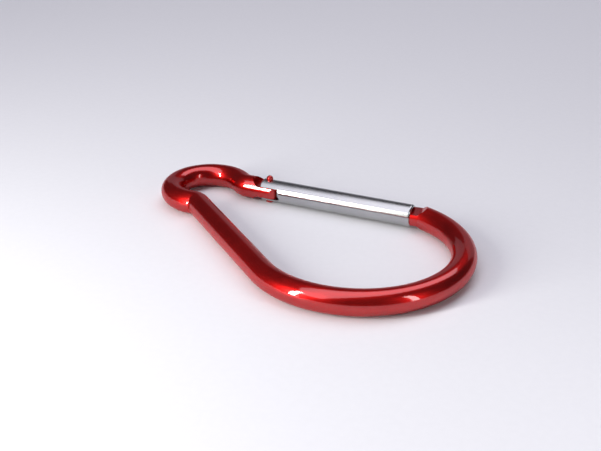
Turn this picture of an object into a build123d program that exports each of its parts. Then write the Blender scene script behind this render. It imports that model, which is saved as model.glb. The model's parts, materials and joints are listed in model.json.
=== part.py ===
from build123d import *
import os
from math import acos, asin, degrees, radians, sin, tan

# A pear-shaped carabiner for keys, lying flat. One bent rod makes the small hook eye,
# the straight spine, the wide bow, the hinge lug and the latch nose. A tube gate turns
# on a rivet through the lug, and a spring inside the tube snaps it shut.
# +X runs from the eye to the bow, +Y is the gate's side, +Z is up. The origin is under
# the middle of the outline, level with the lowest point. All lengths are millimetres.

# --- Driving dimensions -----------------------------------------------------------

# The rod, along its centreline
rod_r = 2.5
bow_r = 20.6
eye_r = 8.0
bend_spacing = 43.7  # between the centres of the bow and the eye
eye_to_straights = 5.0  # from the eye's centre to the spine and to the gate's axis
bow_to_gate = 19.4  # from the bow's centre to the gate's axis
kink_r = 2.6  # centreline of the tight bends between the eye and its two straights

# The gate tube, measured along its axis from the hinge pin
tube_r = 2.4
tube_wall = 0.6
pin_reach = 12.75  # the pin, from the point of the gate's axis nearest the eye's centre
tube_tail = 1.45
tube_reach = 33.3
ear_gap = 0.1  # between a flat of the frame and the slot around it
end_gap = 0.1  # between the tube's mouth and the nose
lip_r = 0.45  # the tube's mouth is rolled to a round lip

# The hinge
lug_half = 1.2  # half the thickness of the lug and of the latch tongue
lug_reach = 2.3  # from the pin to the lug's end
lug_inside_r = 1.9  # the round inside corner, which is also the cam that moves the plunger
lug_outside_r = 2.3
lug_relief_r = 2.35  # the flats' round end, where the full rod begins
lug_relief_back = 1.5  # the middle of that round end, behind the pin
slot_depth = 3.2
swing = 40.0  # how far the gate opens, in degrees
plunger_rise = 0.42  # plunger travel for each radian of swing, just ahead of the cam

# The rivet
rivet_r = 0.6
rivet_play = 0.05
top_head_r = 0.76
top_head_lift = 0.28  # the top head's centre above the tube
low_head_r = 0.95
low_head_h = 0.35

# The latch
nose_flat_reach = 34.8  # the nose's flats are level this far from the pin
nose_ramp_angle = 39.0  # then they rise to the full rod, in degrees
tongue_length = 4.0
tongue_play = 0.15  # between the tongue and the tube's bore
tongue_tip_r = 0.4
notch_length = 4.6

# The spring set, inside the tube
plunger_gap = 0.06  # from the lug, with the gate shut or fully open
plunger_play = 0.07
plunger_head = 1.2
stem_r = 0.8
wire_r = 0.3
spring_r = 1.35  # to the middle of the wire
spring_length = 11.4
spring_turns = 8.5
seat_length = 2.0

# Edge breaks
soft_edge = 0.12
small_edge = 0.15

# --- Derived places ---------------------------------------------------------------

rod_z = tube_r + low_head_h  # the rod's mid-plane: the lower rivet head is the lowest point
length = eye_r + bend_spacing + bow_r + 2 * rod_r
eye_x = eye_r + rod_r - length / 2
bow_x = eye_x + bend_spacing
bore_r = tube_r - tube_wall
slot_half = lug_half + ear_gap

gate_angle = degrees(asin((bow_to_gate - eye_to_straights) / bend_spacing))
spine_angle = degrees(asin((bow_r - eye_to_straights) / bend_spacing))
kink_angle = degrees(acos(eye_to_straights / eye_r))  # where the eye meets a straight
nose_angle = degrees(acos(bow_to_gate / bow_r))  # where the bow meets the gate's axis

eye_centre = Vector(eye_x, 0, rod_z)
bow_centre = Vector(bow_x, 0, rod_z)
up = Vector(0, 0, 1)
along_gate = Vector(1, 0, 0).rotate(Axis.Z, gate_angle)
outward = Vector(0, 1, 0).rotate(Axis.Z, gate_angle)

pin = eye_centre + outward * eye_to_straights + along_gate * pin_reach
nose_corner = bow_centre + outward * bow_to_gate + along_gate * bow_r * sin(radians(nose_angle))

mid_plane = Plane.XY.offset(rod_z)
gate_plan = Plane(origin=pin, x_dir=along_gate, z_dir=up)  # x towards the nose, y outward
gate_side = Plane(origin=pin, x_dir=along_gate, z_dir=-outward)  # x towards the nose, y up
gate_section = Plane(origin=pin, x_dir=outward, z_dir=along_gate)  # x outward, y up
gate_axis = Axis(pin, along_gate)

# --- Frame: one bent rod ----------------------------------------------------------

with BuildPart() as frame:
    # One run: the bow, the spine, the eye and the hinge's stub, with tight bends at the eye
    bow_start = -90 - spine_angle
    eye_first = 90 + gate_angle - kink_angle
    with BuildLine(mid_plane) as rod_line:
        bow = CenterArc((bow_x, 0), bow_r, bow_start, 90 + gate_angle - nose_angle - bow_start)
        eye = CenterArc((eye_x, 0), eye_r, eye_first, 360 + bow_start + kink_angle - eye_first)
        Line(eye @ 1, bow @ 0)
        Line(eye @ 0, pin + along_gate * lug_reach)
        kinks = [end for end in rod_line.vertices() if Vector(end) in (eye @ 0, eye @ 1)]
        fillet(kinks, kink_r)
    with BuildSketch(Plane(origin=bow @ 1, z_dir=bow % 1)):
        Circle(rod_r)
    sweep(path=rod_line.line)

    # The start of the nose lies on the gate's axis and meets the bow in a rounded corner
    with BuildSketch(gate_section.offset(tube_reach + end_gap)):
        Circle(rod_r)
    extrude(amount=(nose_corner - pin).length - tube_reach - end_gap)
    with Locations(nose_corner):
        Sphere(rod_r)

    # Flats above and below the lug, which end behind the ears in a round shoulder
    with BuildSketch(gate_plan.offset(lug_half), gate_plan.offset(-lug_half - rod_r)):
        with Locations((-lug_relief_back, 0)):
            Circle(lug_relief_r)
            Rectangle(2 * slot_depth, 2 * rod_r, align=(Align.MIN, Align.CENTER))
    extrude(amount=rod_r, mode=Mode.SUBTRACT)

    # The lug's end, round at both corners
    with BuildSketch(gate_plan):
        with Locations((lug_reach, rod_r)):
            Rectangle(lug_outside_r, lug_outside_r, align=(Align.MAX, Align.MAX))
        with Locations((lug_reach, -rod_r)):
            Rectangle(lug_inside_r, lug_inside_r, align=(Align.MAX, Align.MIN))
        with Locations((lug_reach - lug_outside_r, rod_r - lug_outside_r)):
            Circle(lug_outside_r, mode=Mode.SUBTRACT)
        with Locations((lug_reach - lug_inside_r, lug_inside_r - rod_r)):
            Circle(lug_inside_r, mode=Mode.SUBTRACT)
    extrude(amount=rod_r, both=True, mode=Mode.SUBTRACT)

    # The bore for the rivet
    with BuildSketch(gate_plan):
        Circle(rivet_r + rivet_play)
    extrude(amount=rod_r, both=True, mode=Mode.SUBTRACT)

    # Flats above and below the nose
    with BuildSketch(gate_plan.offset(lug_half), gate_plan.offset(-lug_half - rod_r)):
        with Locations((nose_flat_reach, 0)):
            Rectangle(nose_flat_reach - slot_depth, 4 * rod_r, align=(Align.MAX, Align.CENTER))
    extrude(amount=rod_r, mode=Mode.SUBTRACT)

    # The latch tongue: flush with the tube outside, clear of its bore inside
    with BuildSketch(gate_section.offset(tube_reach - tongue_length)):
        Circle(tube_r)
        with Locations((-tube_r, 0)):
            Rectangle(2 * tube_r, 2 * tube_r, mode=Mode.SUBTRACT)
        Circle(bore_r - tongue_play)
        Rectangle(2 * tube_r, 2 * lug_half, mode=Mode.INTERSECT)
    extrude(amount=tongue_length + 2 * end_gap)

    # Square to the gate's axis stand the lug's end, the tongue's tip and the nose, in that order
    tongue_tip = frame.faces().filter_by(gate_axis).sort_by(gate_axis)[1]
    fillet(tongue_tip.edges().filter_by(GeomType.CIRCLE), tongue_tip_r)

    # Softened edges round the lug and the tongue, but not at the lug's shoulder or in the bore
    kept_sharp = {round(r, 2) for r in (lug_relief_r, rivet_r + rivet_play)}
    flat_edges = frame.faces().filter_by(Axis.Z).edges()
    flat_edges = flat_edges.filter_by_position(gate_axis, -2 * rod_r, tube_reach)
    arcs = flat_edges.filter_by(GeomType.CIRCLE)
    round_ends = [arc for arc in arcs if round(arc.radius, 2) in kept_sharp]
    fillet(flat_edges - round_ends, soft_edge)

    # A ramp above and below, from the nose's flats up to the full rod
    ramp_foot = Vector(nose_flat_reach, lug_half)
    ramp_top = ramp_foot + Vector(rod_r / tan(radians(nose_ramp_angle)), rod_r)
    with BuildSketch(gate_side):
        with BuildLine():
            Polyline(ramp_foot, ramp_top, (ramp_foot.X, ramp_top.Y), close=True)
        make_face()
        mirror(about=Plane.XZ)
    extrude(amount=2 * rod_r, both=True, mode=Mode.SUBTRACT)

# --- Gate tube --------------------------------------------------------------------

with BuildPart() as gate_tube:
    with BuildSketch(gate_section.offset(-tube_tail)):
        Circle(tube_r)
        Circle(bore_r, mode=Mode.SUBTRACT)
    extrude(amount=tube_tail + tube_reach)
    fillet(gate_tube.faces().sort_by(gate_axis)[-1].edges().sort_by(SortBy.RADIUS)[-1], lip_r)
    tail_end, mouth_end = gate_tube.faces().filter_by(gate_axis).sort_by(gate_axis)
    chamfer(tail_end.edges() + mouth_end.edges().sort_by(SortBy.RADIUS)[:1], soft_edge)

    # The hinge slot leaves one ear above the lug and one below
    with BuildSketch(gate_plan):
        with Locations((slot_depth, 0)):
            Rectangle(slot_depth + 2 * tube_tail, 4 * tube_r, align=(Align.MAX, Align.CENTER))
    extrude(amount=slot_half, both=True, mode=Mode.SUBTRACT)

    # The latch notch is open on the outside only, so the inside wall stops the gate shut
    with BuildSketch(gate_plan):
        with Locations((tube_reach - notch_length, 0)):
            Rectangle(2 * notch_length, 2 * tube_r, align=(Align.MIN, Align.MIN))
    extrude(amount=slot_half, both=True, mode=Mode.SUBTRACT)

    # The rivet's holes through both ears
    with BuildSketch(gate_plan):
        Circle(rivet_r)
    extrude(amount=2 * tube_r, both=True, mode=Mode.SUBTRACT)

# --- Hinge rivet: a ball head on top, a low dome below ----------------------------

with BuildPart() as hinge_rivet:
    with BuildSketch(gate_plan.offset(-tube_r - low_head_h)):
        Circle(low_head_r)
    extrude(amount=2 * low_head_h)
    fillet(hinge_rivet.edges().sort_by(Axis.Z)[0], low_head_h - rivet_play)
    with Locations(pin + up * (tube_r + top_head_lift)):
        Sphere(top_head_r)
    # Both heads sit on the round of the tube
    with BuildSketch(gate_section.offset(-2 * tube_r)):
        Circle(tube_r)
    extrude(amount=4 * tube_r, mode=Mode.SUBTRACT)
    with BuildSketch(gate_plan.offset(-tube_r)):
        Circle(rivet_r)
    extrude(amount=2 * tube_r)

# --- Spring set inside the tube ---------------------------------------------------

plunger_face = lug_reach + plunger_gap
spring_start = plunger_face + plunger_head
seat_face = spring_start + spring_length
plunger_travel = plunger_rise * radians(swing)

with BuildPart() as spring_plunger:
    with BuildSketch(gate_section.offset(plunger_face)):
        Circle(bore_r - plunger_play)
    extrude(amount=plunger_head)
    chamfer(spring_plunger.edges().filter_by(GeomType.CIRCLE), small_edge)
    # The stem guides the spring and meets the seat when the gate is fully open
    with BuildSketch(gate_section.offset(spring_start)):
        Circle(stem_r)
    extrude(amount=spring_length - plunger_travel - plunger_gap)
    chamfer(spring_plunger.faces().sort_by(gate_axis)[-1].edges(), small_edge)

with BuildPart() as gate_spring:
    coil_height = spring_length - 2 * wire_r
    coil_plane = gate_section.offset(spring_start + wire_r)
    with BuildLine(coil_plane) as coil:
        Helix(coil_height / spring_turns, coil_height, spring_r, direction=along_gate)
    with BuildSketch(Plane(origin=coil.line @ 0, z_dir=coil.line % 0)):
        Circle(wire_r)
    sweep(path=coil.line, is_frenet=True)

with BuildPart() as spring_seat:
    with BuildSketch(gate_section.offset(seat_face)):
        Circle(bore_r)
    extrude(amount=seat_length)
    chamfer(spring_seat.edges().filter_by(GeomType.CIRCLE), small_edge)

# --- Output -----------------------------------------------------------------------

os.makedirs("parts", exist_ok=True)

frame.part.label = "frame"
export_step(frame.part, "parts/frame.step")
gate_tube.part.label = "gate_tube"
export_step(gate_tube.part, "parts/gate_tube.step")
hinge_rivet.part.label = "hinge_rivet"
export_step(hinge_rivet.part, "parts/hinge_rivet.step")
spring_plunger.part.label = "spring_plunger"
export_step(spring_plunger.part, "parts/spring_plunger.step")
gate_spring.part.label = "gate_spring"
export_step(gate_spring.part, "parts/gate_spring.step")
spring_seat.part.label = "spring_seat"
export_step(spring_seat.part, "parts/spring_seat.step")

# The values that a drawing of the hinge and latch needs
print("length", round(length, 2), "mid-plane height", round(rod_z, 2))
print("gate angle", round(gate_angle, 3), "pin", pin)
print("plunger travel", round(plunger_travel, 3))
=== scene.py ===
"""Looks of the pear-shaped key carabiner: red anodised rod, polished tube gate,
and the spring set inside the tube."""

import json
import math

import bmesh
import bpy
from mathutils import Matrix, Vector


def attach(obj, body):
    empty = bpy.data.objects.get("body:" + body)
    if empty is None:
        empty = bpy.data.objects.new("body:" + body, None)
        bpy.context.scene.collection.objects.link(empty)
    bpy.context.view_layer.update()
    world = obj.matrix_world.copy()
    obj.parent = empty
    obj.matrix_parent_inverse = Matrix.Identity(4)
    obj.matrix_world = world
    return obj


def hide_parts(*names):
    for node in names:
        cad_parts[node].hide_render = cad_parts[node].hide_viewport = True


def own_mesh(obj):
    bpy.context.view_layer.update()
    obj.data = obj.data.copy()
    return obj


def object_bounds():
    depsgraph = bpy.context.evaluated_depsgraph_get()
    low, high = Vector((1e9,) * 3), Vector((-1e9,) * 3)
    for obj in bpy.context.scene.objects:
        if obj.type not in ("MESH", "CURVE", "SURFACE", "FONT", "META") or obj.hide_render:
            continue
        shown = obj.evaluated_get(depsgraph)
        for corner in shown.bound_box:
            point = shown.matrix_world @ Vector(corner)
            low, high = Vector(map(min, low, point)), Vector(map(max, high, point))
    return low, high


MM = 0.001

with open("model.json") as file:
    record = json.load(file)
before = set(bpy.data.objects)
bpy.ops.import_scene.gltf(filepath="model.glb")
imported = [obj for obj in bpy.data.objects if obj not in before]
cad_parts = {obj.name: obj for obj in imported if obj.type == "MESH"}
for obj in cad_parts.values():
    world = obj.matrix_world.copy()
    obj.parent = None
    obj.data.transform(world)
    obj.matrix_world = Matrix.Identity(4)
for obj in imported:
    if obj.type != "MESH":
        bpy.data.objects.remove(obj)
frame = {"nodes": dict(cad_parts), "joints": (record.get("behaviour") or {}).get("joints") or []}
cad_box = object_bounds()

# --- Places taken from the frame ----------------------------------------------------

JOINTS = {joint["name"]: joint for joint in frame["joints"]}
UP = Vector((0, 0, 1))
PIN = Vector(JOINTS["gate_hinge"]["pos_m"])
ALONG_GATE = Vector(JOINTS["plunger_slide"]["axis"]).normalized()
OUTWARD = UP.cross(ALONG_GATE)
GATE_TURN = math.atan2(ALONG_GATE.y, ALONG_GATE.x)
FLOOR_Z = cad_box[0].z

# --- The visual coil ----------------------------------------------------------------

WIRE_R = 0.3 * MM
COIL_TURNS = 10.0
CLOSED_TURNS = 1.0  # at each end, where a turn lies on the next one
COIL_STEPS = 360
WIRE_SIDES = 20
GROUND_OFF = 0.1 * MM  # taken off each end to make it flat

# --- Colours ------------------------------------------------------------------------

DARK_DYE = (0.42, 0.004, 0.004)
BRIGHT_DYE = (0.49, 0.006, 0.005)
WORN_DYE = (0.58, 0.08, 0.08)
DARK_TUBE = (0.44, 0.44, 0.447)
BRIGHT_TUBE = (0.48, 0.48, 0.486)
DARK_STEEL = (0.40, 0.40, 0.42)
BRIGHT_STEEL = (0.50, 0.50, 0.52)
DARK_BRASS = (0.62, 0.44, 0.18)
BRIGHT_BRASS = (0.76, 0.57, 0.26)
DARK_WIRE = (0.36, 0.36, 0.37)
BRIGHT_WIRE = (0.56, 0.56, 0.57)
DARK_PAPER = (0.800, 0.796, 0.825)
BRIGHT_PAPER = (0.810, 0.806, 0.835)


def reach(node):
    """The nearest and farthest places of a CAD node along the gate, measured from the pin."""
    places = [(vertex.co - PIN).dot(ALONG_GATE) for vertex in frame["nodes"][node].data.vertices]
    return min(places), max(places)


def gate_radius(node):
    """The largest distance of a CAD node from the gate's axis."""
    offsets = [vertex.co - PIN for vertex in frame["nodes"][node].data.vertices]
    return max((offset - offset.dot(ALONG_GATE) * ALONG_GATE).length for offset in offsets)


# --- Node helpers -------------------------------------------------------------------


def new_material(name):
    """A material, its node tree and its Principled shader."""
    material = bpy.data.materials.new(name)
    material.use_nodes = True
    shader = material.node_tree.nodes["Principled BSDF"]
    return material, material.node_tree, shader


def object_coords(tree, turn=0.0, scale=(1, 1, 1)):
    """Object coordinates, turned about Z and then scaled, so that patterns stay on the piece."""
    coords = tree.nodes.new("ShaderNodeTexCoord")
    turned = tree.nodes.new("ShaderNodeMapping")
    turned.vector_type = "POINT"
    turned.inputs["Rotation"].default_value = (0, 0, turn)
    scaled = tree.nodes.new("ShaderNodeMapping")
    scaled.inputs["Scale"].default_value = scale
    tree.links.new(coords.outputs["Object"], turned.inputs["Vector"])
    tree.links.new(turned.outputs["Vector"], scaled.inputs["Vector"])
    return scaled.outputs["Vector"]


def noise(tree, vector, scale, detail=3.0, rough=0.5):
    """A noise value of about so many features to a metre."""
    node = tree.nodes.new("ShaderNodeTexNoise")
    node.inputs["Scale"].default_value = scale
    node.inputs["Detail"].default_value = detail
    node.inputs["Roughness"].default_value = rough
    tree.links.new(vector, node.inputs["Vector"])
    return node.outputs["Fac"]


def remap(tree, value, low, high, from_low=0.35, from_high=0.65):
    """The value spread from one range to another. Noise mostly lies within the default one."""
    node = tree.nodes.new("ShaderNodeMapRange")
    node.inputs["From Min"].default_value = from_low
    node.inputs["From Max"].default_value = from_high
    node.inputs["To Min"].default_value = low
    node.inputs["To Max"].default_value = high
    tree.links.new(value, node.inputs["Value"])
    return node.outputs["Result"]


def combine(tree, operation, first, second):
    """One Math node. Either side is a socket or a number."""
    node = tree.nodes.new("ShaderNodeMath")
    node.operation = operation
    for socket, value in zip(node.inputs, (first, second)):
        if isinstance(value, (int, float)):
            socket.default_value = value
        else:
            tree.links.new(value, socket)
    return node.outputs["Value"]


def mix_colours(tree, factor, first, second):
    """A colour between two colours. Either one is a socket or a colour."""
    node = tree.nodes.new("ShaderNodeMix")
    node.data_type = "RGBA"
    colours = [socket for socket in node.inputs if socket.type == "RGBA"]
    for socket, colour in zip(colours, (first, second)):
        if isinstance(colour, tuple):
            socket.default_value = (*colour, 1)
        else:
            tree.links.new(colour, socket)
    tree.links.new(factor, node.inputs["Factor"])
    return [socket for socket in node.outputs if socket.type == "RGBA"][0]


def bump(tree, height, distance, normal=None):
    """A bump of that height in metres, on top of an earlier one if it is given."""
    node = tree.nodes.new("ShaderNodeBump")
    node.inputs["Strength"].default_value = 1.0
    node.inputs["Distance"].default_value = distance
    tree.links.new(height, node.inputs["Height"])
    if normal is not None:
        tree.links.new(normal, node.inputs["Normal"])
    return node.outputs["Normal"]


def scratches(tree, turn, threshold=0.62):
    """Fine straight scratches in one direction, set by the turn: 1 in a scratch and 0 beside it."""
    along, across = 260.0, 9000.0
    edge = 0.06
    lines = noise(tree, object_coords(tree, turn, (along, across, across)), 1.0, detail=2.0)
    return remap(tree, lines, 0.0, 1.0, threshold, threshold + edge)


# --- Materials ----------------------------------------------------------------------


def red_anodised(name):
    """Red dye over satin aluminium, under a glossy clear coat with faint handling marks."""
    material, tree, shader = new_material(name)
    plain = object_coords(tree)
    cloud = noise(tree, plain, 180.0)
    grain = noise(tree, plain, 5200.0, detail=2.0)
    marks = combine(tree, "MAXIMUM", scratches(tree, 0.5), scratches(tree, -0.9, threshold=0.64))
    dye = mix_colours(tree, remap(tree, cloud, 0, 1), DARK_DYE, BRIGHT_DYE)
    worn = mix_colours(tree, combine(tree, "MULTIPLY", marks, 0.18), dye, WORN_DYE)
    tree.links.new(worn, shader.inputs["Base Color"])
    marks_rough = combine(tree, "MULTIPLY", marks, 0.06)
    rough = combine(tree, "ADD", remap(tree, cloud, 0.32, 0.36), marks_rough)
    tree.links.new(rough, shader.inputs["Roughness"])
    tree.links.new(bump(tree, grain, 0.0004 * MM), shader.inputs["Normal"])
    orange_peel = bump(tree, noise(tree, plain, 900.0), 0.003 * MM)
    coat_normal = bump(tree, marks, -0.0006 * MM, normal=orange_peel)
    tree.links.new(coat_normal, shader.inputs["Coat Normal"])
    shader.inputs["Metallic"].default_value = 0.9
    shader.inputs["Specular Tint"].default_value = (1.0, 0.4, 0.4, 1)
    shader.inputs["Coat Weight"].default_value = 0.45
    shader.inputs["Coat Roughness"].default_value = 0.02
    shader.inputs["Coat IOR"].default_value = 2.1
    return material


def along_gate_tangent(tree):
    """The gate's direction as a shading tangent that turns with the gate."""
    direction = tree.nodes.new("ShaderNodeCombineXYZ")
    for socket, value in zip(direction.inputs, ALONG_GATE):
        socket.default_value = value
    turned = tree.nodes.new("ShaderNodeVectorTransform")
    turned.vector_type = "VECTOR"
    turned.convert_from = "OBJECT"
    turned.convert_to = "WORLD"
    tree.links.new(direction.outputs["Vector"], turned.inputs["Vector"])
    return turned.outputs["Vector"]


def polished_tube(name):
    """Polished tube whose reflections smear along its length. Faint drawing lines remain."""
    material, tree, shader = new_material(name)
    along, across = 90.0, 7000.0
    lines = noise(tree, object_coords(tree, -GATE_TURN, (along, across, across)), 1.0, detail=4.0)
    cloud = noise(tree, object_coords(tree), 240.0)
    tint = mix_colours(tree, remap(tree, cloud, 0, 1), DARK_TUBE, BRIGHT_TUBE)
    tree.links.new(tint, shader.inputs["Base Color"])
    lines_rough = remap(tree, lines, -0.01, 0.015)
    rough = combine(tree, "ADD", remap(tree, cloud, 0.20, 0.22), lines_rough)
    tree.links.new(rough, shader.inputs["Roughness"])
    tree.links.new(bump(tree, lines, 0.0008 * MM), shader.inputs["Normal"])
    tree.links.new(along_gate_tangent(tree), shader.inputs["Tangent"])
    shader.inputs["Anisotropic"].default_value = 0.8
    shader.inputs["Metallic"].default_value = 1.0
    return material


def turned_metal(name, low, high, rough):
    """Machined metal with turning rings round the gate's axis."""
    material, tree, shader = new_material(name)
    along, across = 5200.0, 150.0
    rings = noise(tree, object_coords(tree, -GATE_TURN, (along, across, across)), 1.0, detail=3.0)
    tree.links.new(mix_colours(tree, remap(tree, rings, 0, 1), low, high), shader.inputs["Base Color"])
    tree.links.new(remap(tree, rings, rough, rough + 0.12), shader.inputs["Roughness"])
    tree.links.new(bump(tree, rings, 0.002 * MM), shader.inputs["Normal"])
    shader.inputs["Metallic"].default_value = 1.0
    return material


def drawn_wire(name):
    """Spring wire with a fine, slightly oily draw finish."""
    material, tree, shader = new_material(name)
    streaks = noise(tree, object_coords(tree), 3800.0, detail=4.0, rough=0.65)
    tint = mix_colours(tree, remap(tree, streaks, 0, 1), DARK_WIRE, BRIGHT_WIRE)
    tree.links.new(tint, shader.inputs["Base Color"])
    tree.links.new(remap(tree, streaks, 0.24, 0.40), shader.inputs["Roughness"])
    tree.links.new(bump(tree, streaks, 0.002 * MM), shader.inputs["Normal"])
    shader.inputs["Metallic"].default_value = 1.0
    return material


def floor_paper(name):
    """Matt pale paper with a hardly visible grain."""
    material, tree, shader = new_material(name)
    grain = noise(tree, object_coords(tree), 700.0, detail=5.0)
    tint = mix_colours(tree, remap(tree, grain, 0, 1), DARK_PAPER, BRIGHT_PAPER)
    tree.links.new(tint, shader.inputs["Base Color"])
    shader.inputs["Roughness"].default_value = 0.9
    shader.inputs["Specular IOR Level"].default_value = 0.1
    return material


# --- Pieces -------------------------------------------------------------------------


def paint(node, material):
    """Gives a CAD node its finish."""
    slots = frame["nodes"][node].data.materials
    slots.clear()
    slots.append(material)


def mesh_piece(name, mesh, material):
    """A smooth-shaded object made from a bmesh."""
    data = bpy.data.meshes.new(name)
    mesh.to_mesh(data)
    mesh.free()
    for face in data.polygons:
        face.use_smooth = True
    data.materials.append(material)
    piece = bpy.data.objects.new(name, data)
    bpy.context.scene.collection.objects.link(piece)
    return piece


def coil_place(share, length):
    """How far along the coil a turn lies: closed turns at both ends, open ones between."""
    turn = share * COIL_TURNS
    pitch = 2 * WIRE_R
    if turn < CLOSED_TURNS:
        return turn * pitch
    if turn > COIL_TURNS - CLOSED_TURNS:
        return length - (COIL_TURNS - turn) * pitch
    closed = CLOSED_TURNS * pitch
    return closed + (turn - CLOSED_TURNS) / (COIL_TURNS - 2 * CLOSED_TURNS) * (length - 2 * closed)


def coil_centres(start, end):
    """The wire's middle at each step round the coil, with the direction out of the coil there."""
    middle_r = gate_radius("gate_spring") - WIRE_R
    length = end - start - 2 * WIRE_R
    centres = []
    for step in range(COIL_STEPS + 1):
        share = step / COIL_STEPS
        angle = 2 * math.pi * COIL_TURNS * share
        place = start + WIRE_R + coil_place(share, length)
        radial = math.cos(angle) * OUTWARD + math.sin(angle) * UP
        centres.append((PIN + place * ALONG_GATE + middle_r * radial, radial))
    return centres


def ground(point, low, high):
    """The point moved along the gate onto the nearer ground end, if it lies past it."""
    place = (point - PIN).dot(ALONG_GATE)
    return point + (min(max(place, low), high) - place) * ALONG_GATE


def wire_ring(mesh, centres, step, low, high):
    """The corners of the wire's section at one step, square to the wire."""
    centre, radial = centres[step]
    before = centres[max(step - 1, 0)][0]
    after = centres[min(step + 1, COIL_STEPS)][0]
    side = (after - before).normalized().cross(radial).normalized()
    ring = []
    for corner in range(WIRE_SIDES):
        angle = 2 * math.pi * corner / WIRE_SIDES
        point = centre + WIRE_R * (math.cos(angle) * radial + math.sin(angle) * side)
        ring.append(mesh.verts.new(ground(point, low, high)))
    return ring


def coil_spring(name, material, start, end):
    """Compression spring with closed, ground ends, between the plunger's head and the seat."""
    centres = coil_centres(start, end)
    low, high = start + GROUND_OFF, end - GROUND_OFF
    mesh = bmesh.new()
    rings = [wire_ring(mesh, centres, step, low, high) for step in range(COIL_STEPS + 1)]
    for first, second in zip(rings, rings[1:]):
        for corner in range(WIRE_SIDES):
            following = (corner + 1) % WIRE_SIDES
            mesh.faces.new((first[corner], first[following], second[following], second[corner]))
    mesh.faces.new(reversed(rings[0]))
    mesh.faces.new(rings[-1])
    bmesh.ops.recalc_face_normals(mesh, faces=mesh.faces)
    return mesh_piece(name, mesh, material)


# --- Stage --------------------------------------------------------------------------


def make_floor(material):
    """A wide round floor, a hair below the part's lowest point."""
    floor_r = 2.5
    gap = 0.02 * MM
    mesh = bmesh.new()
    bmesh.ops.create_circle(mesh, cap_ends=True, segments=96, radius=floor_r)
    bmesh.ops.translate(mesh, vec=(0, 0, FLOOR_Z - gap), verts=mesh.verts)
    floor = mesh_piece("floor", mesh, material)


def make_panel(name, place, target, size, radiance, colour=(1, 1, 1)):
    """A rectangular soft light that faces its target. Radiance is its brightness in a mirror."""
    light = bpy.data.lights.new(name, "AREA")
    light.shape = "RECTANGLE"
    light.size, light.size_y = size
    light.energy = radiance * math.pi * size[0] * size[1]
    light.color = colour
    panel = bpy.data.objects.new(name, light)
    panel.location = place
    panel.rotation_euler = (Vector(target) - Vector(place)).to_track_quat("-Z", "Y").to_euler()
    panel.visible_camera = False
    bpy.context.scene.collection.objects.link(panel)


def make_lights():
    """Two tall strips beside the part, a long bank overhead, and a wall far behind."""
    make_panel(
        "left_strip", place=(-0.0476, -0.2129, 0.0915), target=(0.020, -0.022, 0.0915),
        size=(0.0247, 0.169), radiance=50.0, colour=(1, 1, 0.955))
    make_panel(
        "right_strip", place=(0.165, 0.0, 0.069), target=(0.036, -0.009, 0.069),
        size=(0.018, 0.129), radiance=7.5)
    make_panel(
        "overhead_bank", place=(-0.058, -0.250, 0.890), target=(-0.058, -0.250, 0),
        size=(0.610, 2.890), radiance=2.1, colour=(0.92, 0.91, 1.0))
    make_panel(
        "far_wall", place=(-2.0, 3.0, 0.9), target=(0, 0, 0.9),
        size=(5.0, 1.8), radiance=0.31, colour=(0.90, 0.88, 1.0))


def make_room():
    """A dim, slightly blue room around the lights."""
    world = bpy.data.worlds.new("room")
    world.use_nodes = True
    background = world.node_tree.nodes["Background"]
    background.inputs["Color"].default_value = (0.90, 0.90, 1.0, 1)
    background.inputs["Strength"].default_value = 0.05
    bpy.context.scene.world = world


def make_camera():
    """Looks down at the part from beyond the bow, on the spine's side."""
    look_down = math.radians(25.45)
    turn = math.radians(43.713)
    data = bpy.data.cameras.new("camera")
    data.sensor_width = 36.0
    data.lens = 59.16
    data.clip_start = 0.01
    data.clip_end = 20.0
    camera = bpy.data.objects.new("camera", data)
    camera.location = (0.126448, -0.132123, 0.089914)
    camera.rotation_euler = (math.pi / 2 - look_down, 0, turn)
    bpy.context.scene.collection.objects.link(camera)
    bpy.context.scene.camera = camera
    bpy.context.scene.view_settings.view_transform = "Standard"


# --- Build --------------------------------------------------------------------------

make_camera()
make_lights()
make_room()
make_floor(floor_paper("pale_paper"))

paint("frame", red_anodised("red_anodised"))
paint("hinge_rivet", red_anodised("red_rivet"))
paint("gate_tube", polished_tube("polished_tube"))
paint("spring_plunger", turned_metal("plunger_steel", DARK_STEEL, BRIGHT_STEEL, 0.22))
paint("spring_seat", turned_metal("seat_brass", DARK_BRASS, BRIGHT_BRASS, 0.24))

spring_start, spring_end = reach("gate_spring")
spring = coil_spring("coil_spring", drawn_wire("spring_wire"), spring_start, spring_end)
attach(spring, "gate")
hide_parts("gate_spring")
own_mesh(spring)
